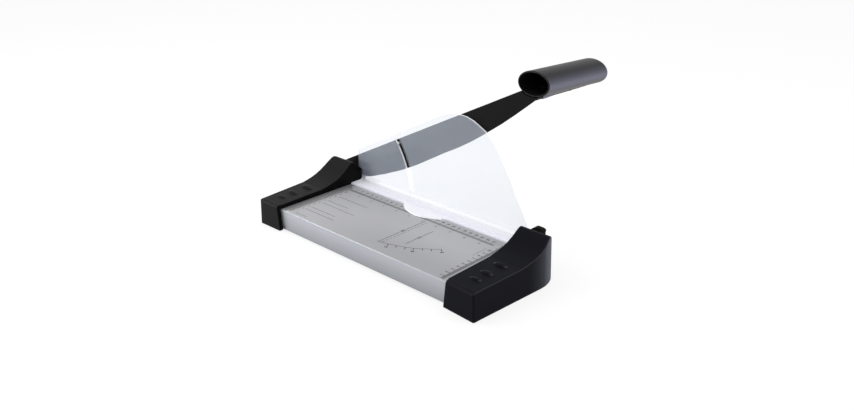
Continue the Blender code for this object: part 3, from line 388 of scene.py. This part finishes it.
def arm_coat():
    look = Look("black_coated_steel")
    ny, nz = look.normal()[1:]
    y = look.design_place()[1]
    seat = y.above(ARM_SEAT_FRONT)
    ground = ny.above(0.2) * nz.below(-0.15) * (1 - seat)
    grain = look.noise(700)
    coat = look.mix(grain, grey(14, COAT_TINT), grey(20, COAT_TINT))
    coat = look.mix(seat, coat, grey(92, (1.05, 1, 1)))
    look.set(
        Base_Color=look.mix(ground, coat, grey(190)),
        Metallic=ground * 0.9,
        Roughness=0.55 - ground * 0.25,
        Specular_IOR_Level=0.06,
        Normal=look.bump(grain, 0.04),
    )
    return look.material


def rubber():
    look = Look("foot_rubber")
    grain = look.noise(900)
    look.set(
        Base_Color=look.mix(grain, grey(26), grey(34)),
        Roughness=0.85,
        Specular_IOR_Level=0.2,
        Normal=look.bump(grain, 0.2),
    )
    return look.material


# Guard: a flange that lies on the table, a bend, and an upright with a slot that is an
# arc about the arm's pivot

GUARD_FACE = 0.1546
GUARD_RIM = 0.1276
GUARD_LEFT = -0.1585
BEND_TOP = TABLE_TOP + 0.0095
RIBS_REAR = GUARD_FACE - 0.010
# Where the milkiness and painted reflection of the flange fade out towards the rear
MILK_AND_REFLECTION_RATE = 140
MILK_AND_REFLECTION_REAR = GUARD_FACE + 0.6 / MILK_AND_REFLECTION_RATE
PAINTED_GLOW_REAR = GUARD_FACE + 0.001
SLOT_ARC = 0.13197
SLOT_OUTER_SIDE = 0.0060
SLOT_STRIP_START = 0.0026
SLOT_STRIP_END = 0.0044
SLOT_STRIP_LOW = PIVOT_Z + 0.009
SLOT_STRIP_HIGH = PIVOT_Z + 0.084

FILM_DARK = (0.69, 0.76, 0.86, 1.0)
FILM_LIGHT = (0.77, 0.83, 0.93, 1.0)
FILM_MILKY_AND_REFLECTION = (0.93, 0.93, 0.96, 1.0)
FILM_RIB_PAINTED_SHADE = (0.45, 0.45, 0.55, 1.0)
FILM_EDGE_PAINTED_HIGHLIGHT = (0.93, 0.94, 0.97, 1.0)
NO_GLOW = (0.0, 0.0, 0.01, 1.0)
PAINTED_FLANGE_GLOW = (0.24, 0.24, 0.26, 1.0)
PAINTED_EDGE_GLOW = (0.42, 0.42, 0.44, 1.0)


def clear_sheet():
    # Lets most light through. Where it lies on the table it is milkier, partly as painted
    # reflection, with a painted glow and painted shade on the rib sides; its cut edges carry a
    # painted highlight and painted glow
    look = Look("clear_acrylic")
    ny, nz = look.normal()[1:]
    x, y, z = look.design_place()
    upright = z.above(BEND_TOP)
    flat = 1 - upright
    slope = nz.size().below(0.6)
    from_pivot_x = x - PIVOT_X
    from_pivot_z = z - PIVOT_Z
    reach = from_pivot_x * from_pivot_x + from_pivot_z * from_pivot_z

    def ring(inner, outer):
        return reach.above((SLOT_ARC + inner) ** 2) * reach.below((SLOT_ARC + outer) ** 2)

    cut = upright * ny.size().below(0.6) * x.above(GUARD_LEFT) * (1 - ring(0, SLOT_OUTER_SIDE))
    strip = ring(SLOT_STRIP_START, SLOT_STRIP_END)
    strip = strip * z.above(SLOT_STRIP_LOW) * z.below(SLOT_STRIP_HIGH)
    rim = flat * slope * y.below(GUARD_RIM)
    # Painted shade on the rib sides
    painted_rib_shade = flat * slope * (1 - rim) * y.below(RIBS_REAR)
    # Painted highlight and painted glow on the upright's cut edges and the flange's rim
    edge = (cut + rim * 0.5).clamp()
    haze = look.noise(30)
    # Milkier where it lies on the table, partly as painted reflection
    milk_and_painted_reflection = y.ramp(MILK_AND_REFLECTION_REAR, -MILK_AND_REFLECTION_RATE) * flat
    film = look.mix(haze, FILM_DARK, FILM_LIGHT)
    film = look.mix(milk_and_painted_reflection, film, FILM_MILKY_AND_REFLECTION)
    film = look.mix(painted_rib_shade, film, FILM_RIB_PAINTED_SHADE)
    # Painted glow over the front of the flange
    painted_glow = look.mix(y.ramp(PAINTED_GLOW_REAR, -110) * flat, NO_GLOW, PAINTED_FLANGE_GLOW)
    look.set(
        Base_Color=look.mix(edge, film, FILM_EDGE_PAINTED_HIGHLIGHT),
        Roughness=0.08 + haze * 0.03 + milk_and_painted_reflection * 0.35,
        Specular_IOR_Level=0.5,
        Alpha=(0.19 + milk_and_painted_reflection * 0.32 + edge * 0.5).clamp() * (1 - strip),
        Emission_Color=look.mix(edge, painted_glow, PAINTED_EDGE_GLOW),
        Emission_Strength=1.0,
    )
    return look.material


def ink():
    look = Look("table_ink")
    patch = look.noise(160)
    look.set(
        Base_Color=look.mix(patch, grey(28), grey(44)),
        Roughness=0.5,
        Specular_IOR_Level=0.25,
    )
    return look.material


# Both caps are one plastic: the right cap's darker, bluer colour is painted shade, and its
# higher edge level a brighter painted highlight
LEFT_CAP_TINT = (1, 1, 1.12)
RIGHT_CAP_PAINTED_SHADE_TINT = (0.94, 0.97, 1.5)
LATCH_TINT = (1.05, 1, 1)

looks = {
    "left_cap": dark_plastic("left_cap_plastic", 22, 46, LEFT_CAP_TINT, 0.06, 0.42, 1.0),
    "right_cap": dark_plastic("right_cap_painted_shade_plastic", 19, 58, RIGHT_CAP_PAINTED_SHADE_TINT, 0.03, 0.42, -1.0),
    "latch": dark_plastic("latch_plastic", 8, 20, LATCH_TINT, 0.03, 0.5),
    "grip": grip_plastic(),
    "bed": bed_metal(),
    "steel": steel("ground_steel", 190, 0.25),
    "zinc": steel("zinc_plate", 180, 0.35),
    "arm": arm_coat(),
    "rubber": rubber(),
    "clear": clear_sheet(),
    "ink": ink(),
}
looks_by_node = {
    "bed": "bed",
    "bed_knife": "steel",
    "left_end_cap": "left_cap",
    "right_end_cap": "right_cap",
    "arm_latch": "latch",
    "blade_arm": "arm",
    "grip": "grip",
    "guard": "clear",
    "latch_pin": "steel",
    "pivot_spring": "steel",
}


def look_of(name):
    # Screws, nuts, washers and the other small metal pieces are zinc plated
    if name in looks_by_node:
        return looks[looks_by_node[name]]
    return looks["rubber" if "foot" in name else "zinc"]


SHARP_ANGLE = math.radians(34)
FLAT_FACE_WEIGHT = 90


def smooth(node):
    # Round faces shade as one surface, flat faces and sharp edges stay as they are
    mesh = node.data
    mesh.polygons.foreach_set("use_smooth", [True] * len(mesh.polygons))
    mesh.set_sharp_from_angle(angle=SHARP_ANGLE)
    weighted = node.modifiers.new("flat_faces_stay_flat", "WEIGHTED_NORMAL")
    weighted.keep_sharp = True
    weighted.weight = FLAT_FACE_WEIGHT


for name, node in frame["nodes"].items():
    smooth(node)
    node.data.materials.clear()
    node.data.materials.append(look_of(name))


# Scales printed on the table. Places, lengths and widths here are in millimetres of
# the design's own frame.

INK_TOP = TABLE_TOP + 0.00004
INK_SPREAD = 0.00018
TEXT_SIZE_SHARE = 1.4
SIDEWAYS = math.pi / 2

CENTIMETRES = 27
CENTIMETRE_PITCH = 10
FIRST_CENTIMETRE = -133.3
FIRST_HALF_CENTIMETRE = -138.3
SCALE_TICK_FRONT = 116.4
CENTIMETRE_TICK_REAR = 119.6
HALF_TICK_REAR = 117.8
CENTIMETRE_NUMERAL_ROW = 123.2

INCHES = 11
INCH_PITCH = 25.4
FIRST_INCH = -139.0
INCH_TICK_FRONT = 111.2
INCH_TICK_REAR = 114.0
INCH_NUMERAL_ROW = 106.8

# Side, edge at the cap, tick width, first tick, tick past the last
RULERS = ((-1, 149.2, 0.9, 3, 62), (1, 148.3, 1.15, 2, 63))
RULER_PITCH = 2
RULER_TICK = 5.0
RULER_LONG_TICK = 7.0
# Place across, place of the first, height
RULER_NUMERALS = ((138.6, 9.6, 3.6), (-139.5, 14, 2.8))

# Distance from the front wall and right end of each line at the left cap
SHEET_LINES = ((7, -112), (25, -76), (34.5, -84), (55, -68), (66, -92), (86, -74))
SHEET_LINE_LEFT = -135
# Place, front end, rear end and label of each line across the table
SIZE_LINES = ((16.8, 21, 110, "182"), (47.4, 40.5, 93, "210"))
SIZE_LABEL_ROW = 66
SIZE_LABEL_GAP = (60.5, 71.5)
DASHES = 13
DASH_X = 21.8
DASH_FRONT = 24
DASH_PITCH = 6.6
DASH_LENGTH = 4
SQUARE_LINE = ((132, 74), (132, 102))

# Angle scale: each point of the arc, and the direction of its tick
ANGLE_ARC = (
    (14.7, 20.9, 0.35, 0.94),
    (32.1, 25.1, 0.38, 0.93),
    (43.1, 28.8, 0.47, 0.88),
    (54.6, 33.0, 0.55, 0.83),
    (64.4, 38.2, 0.55, 0.84),
    (73.2, 45.3, 0.65, 0.76),
    (82.9, 51.9, 0.69, 0.72),
    (91.9, 60.5, 0.73, 0.68),
)
ANGLE_TICK = 5.5
ANGLE_NUMERAL_REACH = 9.2
FIRST_ANGLE = 15
ANGLE_STEP = 5


def stroke(bm, start, end, width):
    one = Vector(start)
    two = Vector(end)
    side = (two - one).normalized().orthogonal() * width / 2
    corners = (one - side, two - side, two + side, one + side)
    points = [at(c.x * MM, c.y * MM, INK_TOP) for c in corners]
    face = bm.faces.new([bm.verts.new(point) for point in points])
    face.normal_update()
    if face.normal.z < 0:
        face.normal_flip()


def numeral(bm, text, place, height, turn=0.0):
    curve = bpy.data.curves.new("numeral", "FONT")
    curve.body = text
    curve.size = height * MM * TEXT_SIZE_SHARE
    curve.align_x = "CENTER"
    curve.align_y = "CENTER"
    curve.resolution_u = 2
    curve.offset = INK_SPREAD
    drawn = add_object("numeral", curve)
    graph = bpy.context.evaluated_depsgraph_get()
    mesh = bpy.data.meshes.new_from_object(drawn.evaluated_get(graph))
    spot = at(place[0] * MM, place[1] * MM, INK_TOP)
    mesh.transform(Matrix.Translation(spot) @ Matrix.Rotation(turn, 4, "Z"))
    bm.from_mesh(mesh)
    bpy.data.objects.remove(drawn)
    bpy.data.meshes.remove(mesh)


def print_guard_scale(bm):
    # Centimetres behind the thick line, inches before it
    for step in range(CENTIMETRES):
        x = FIRST_CENTIMETRE + CENTIMETRE_PITCH * step
        stroke(bm, (x, SCALE_TICK_FRONT), (x, CENTIMETRE_TICK_REAR), 0.6)
        numeral(bm, str(step + 1), (x, CENTIMETRE_NUMERAL_ROW), 3.6)
    for step in range(2 * CENTIMETRES):
        x = FIRST_HALF_CENTIMETRE + CENTIMETRE_PITCH / 2 * step
        stroke(bm, (x, SCALE_TICK_FRONT), (x, HALF_TICK_REAR), 0.35)
    for step in range(INCHES):
        x = FIRST_INCH + INCH_PITCH * step
        stroke(bm, (x, INCH_TICK_FRONT), (x, INCH_TICK_REAR), 0.5)
        numeral(bm, str(step + 1), (x, INCH_NUMERAL_ROW), 2.6)


def print_cap_rulers(bm):
    for side, edge, width, first, end in RULERS:
        for step in range(first, end):
            length = RULER_LONG_TICK if step % 5 == 0 else RULER_TICK
            y = step * RULER_PITCH
            stroke(bm, (edge * side, y), ((edge - length) * side, y), width)
    for step in range(10):
        for x, first, height in RULER_NUMERALS:
            place = (x, first + CENTIMETRE_PITCH * step)
            numeral(bm, str(step + 1), place, height, SIDEWAYS)


def print_sheet_sizes(bm):
    for y, end in SHEET_LINES:
        stroke(bm, (SHEET_LINE_LEFT, y), (end, y), 0.7)
    for x, low, high, label in SIZE_LINES:
        stroke(bm, (x, low), (x, SIZE_LABEL_GAP[0]), 0.85)
        stroke(bm, (x, SIZE_LABEL_GAP[1]), (x, high), 0.85)
        numeral(bm, label, (x, SIZE_LABEL_ROW), 4.0, SIDEWAYS)
    for step in range(DASHES):
        y = DASH_FRONT + step * DASH_PITCH
        stroke(bm, (DASH_X, y), (DASH_X, y + DASH_LENGTH), 0.8)
    stroke(bm, *SQUARE_LINE, 0.5)


def print_angle_scale(bm):
    for one, two in zip(ANGLE_ARC, ANGLE_ARC[1:]):
        stroke(bm, one[:2], two[:2], 0.8)
    for index, (x, y, dx, dy) in enumerate(ANGLE_ARC[1:]):
        stroke(bm, (x, y), (x + ANGLE_TICK * dx, y - ANGLE_TICK * dy), 1.0)
        if index % 3 == 0:
            label = str(FIRST_ANGLE + ANGLE_STEP * index)
            place = (x + ANGLE_NUMERAL_REACH * dx, y - ANGLE_NUMERAL_REACH * dy)
            numeral(bm, label, place, 3.6, math.atan2(dx, dy))


def build_print():
    bm = bmesh.new()
    print_guard_scale(bm)
    print_cap_rulers(bm)
    print_sheet_sizes(bm)
    print_angle_scale(bm)
    mesh = bpy.data.meshes.new("table_print")
    bm.to_mesh(mesh)
    bm.free()
    mesh.materials.append(looks["ink"])
    sheet = add_object("table_print", mesh)
    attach(sheet, "base")


build_print()


# Floor and white surroundings. They have one value where they are seen, by the camera,
# in gloss or through clear parts, and another where they only send light.

FLOOR_SIZE = 8
FLOOR_UNSEEN = (0.80, 0.80, 0.80, 1)
FLOOR_SEEN = (0.24, 0.24, 0.24, 1)
FLOOR_DARK = (0, 0, 0, 1)
FLOOR_GLOW = (0.79, 0.79, 0.79, 1)
SKY_UNSEEN = 0.68
SKY_SEEN = 1.0


def seen_share(tree, unseen_value, seen_value):
    seen = tree.ray("Is Camera Ray")
    seen = seen.larger(tree.ray("Is Glossy Ray"))
    seen = seen.larger(tree.ray("Is Transmission Ray"))
    values = {"Value": seen, "To Min": unseen_value, "To Max": seen_value}
    return tree.node("ShaderNodeMapRange", {}, values)


def add_floor():
    bpy.ops.mesh.primitive_plane_add(size=FLOOR_SIZE)
    floor = bpy.context.object
    floor.name = "studio_floor"
    look = Look("studio_floor")
    seen = seen_share(look, 0.0, 1.0)
    look.set(
        Base_Color=look.mix(seen, FLOOR_UNSEEN, FLOOR_SEEN),
        Roughness=0.9,
        Specular_IOR_Level=0.0,
        Emission_Color=look.mix(seen, FLOOR_DARK, FLOOR_GLOW),
        Emission_Strength=1.0,
    )
    floor.data.materials.append(look.material)


def add_sky():
    world = bpy.data.worlds.new("studio")
    bpy.context.scene.world = world
    world.use_nodes = True
    sky = Tree(world.node_tree)
    background = sky.nodes["Background"].inputs
    sky.put(background["Color"], (1, 1, 1, 1))
    sky.put(background["Strength"], seen_share(sky, SKY_UNSEEN, SKY_SEEN))


add_floor()
add_sky()
